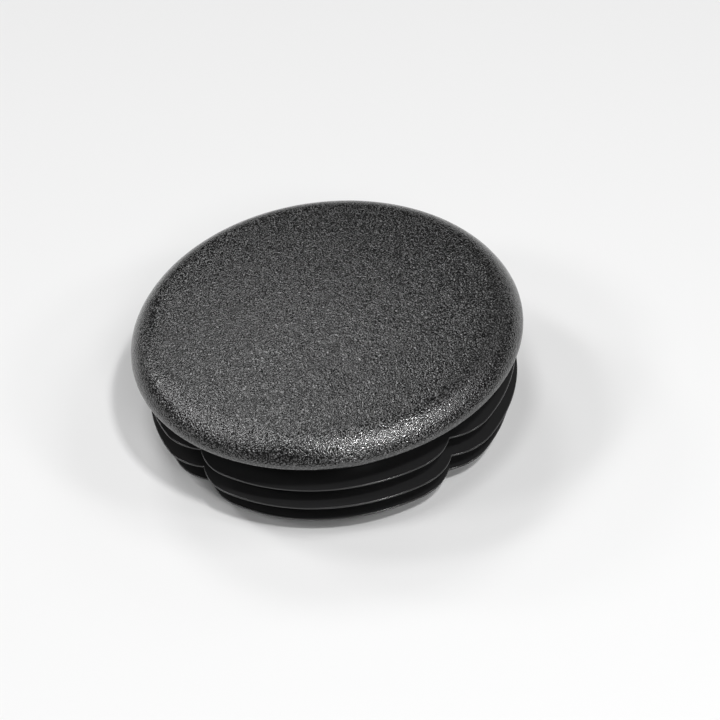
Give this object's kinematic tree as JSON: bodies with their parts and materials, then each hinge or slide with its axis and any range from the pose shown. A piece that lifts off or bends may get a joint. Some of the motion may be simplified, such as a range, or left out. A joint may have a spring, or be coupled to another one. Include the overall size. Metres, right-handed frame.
{
  "type": "tube end cap",
  "caption": "Round end cap with a low domed, finely grained head and a hollow ribbed insert, notched into lobes, that presses into the open end of a round tube.",
  "frame": {"origin": "on the cap's axis, in the plane of the insert's lower end", "axes": "+Z along the cap's axis, out of the tube and up through the middle of the domed head; -Y points to the middle of one lobe of the insert, so the notches lie midway between X and Y"},
  "size_m": [0.06, 0.06, 0.0214],
  "materials": {
    "black_plastic": "moulded black polyethylene, fine spark-eroded grain on the head, smooth and semi-glossy on the insert"
  },
  "bodies": {
    "root": {"end_cap": "black_plastic"}
  },
  "joints": []
}
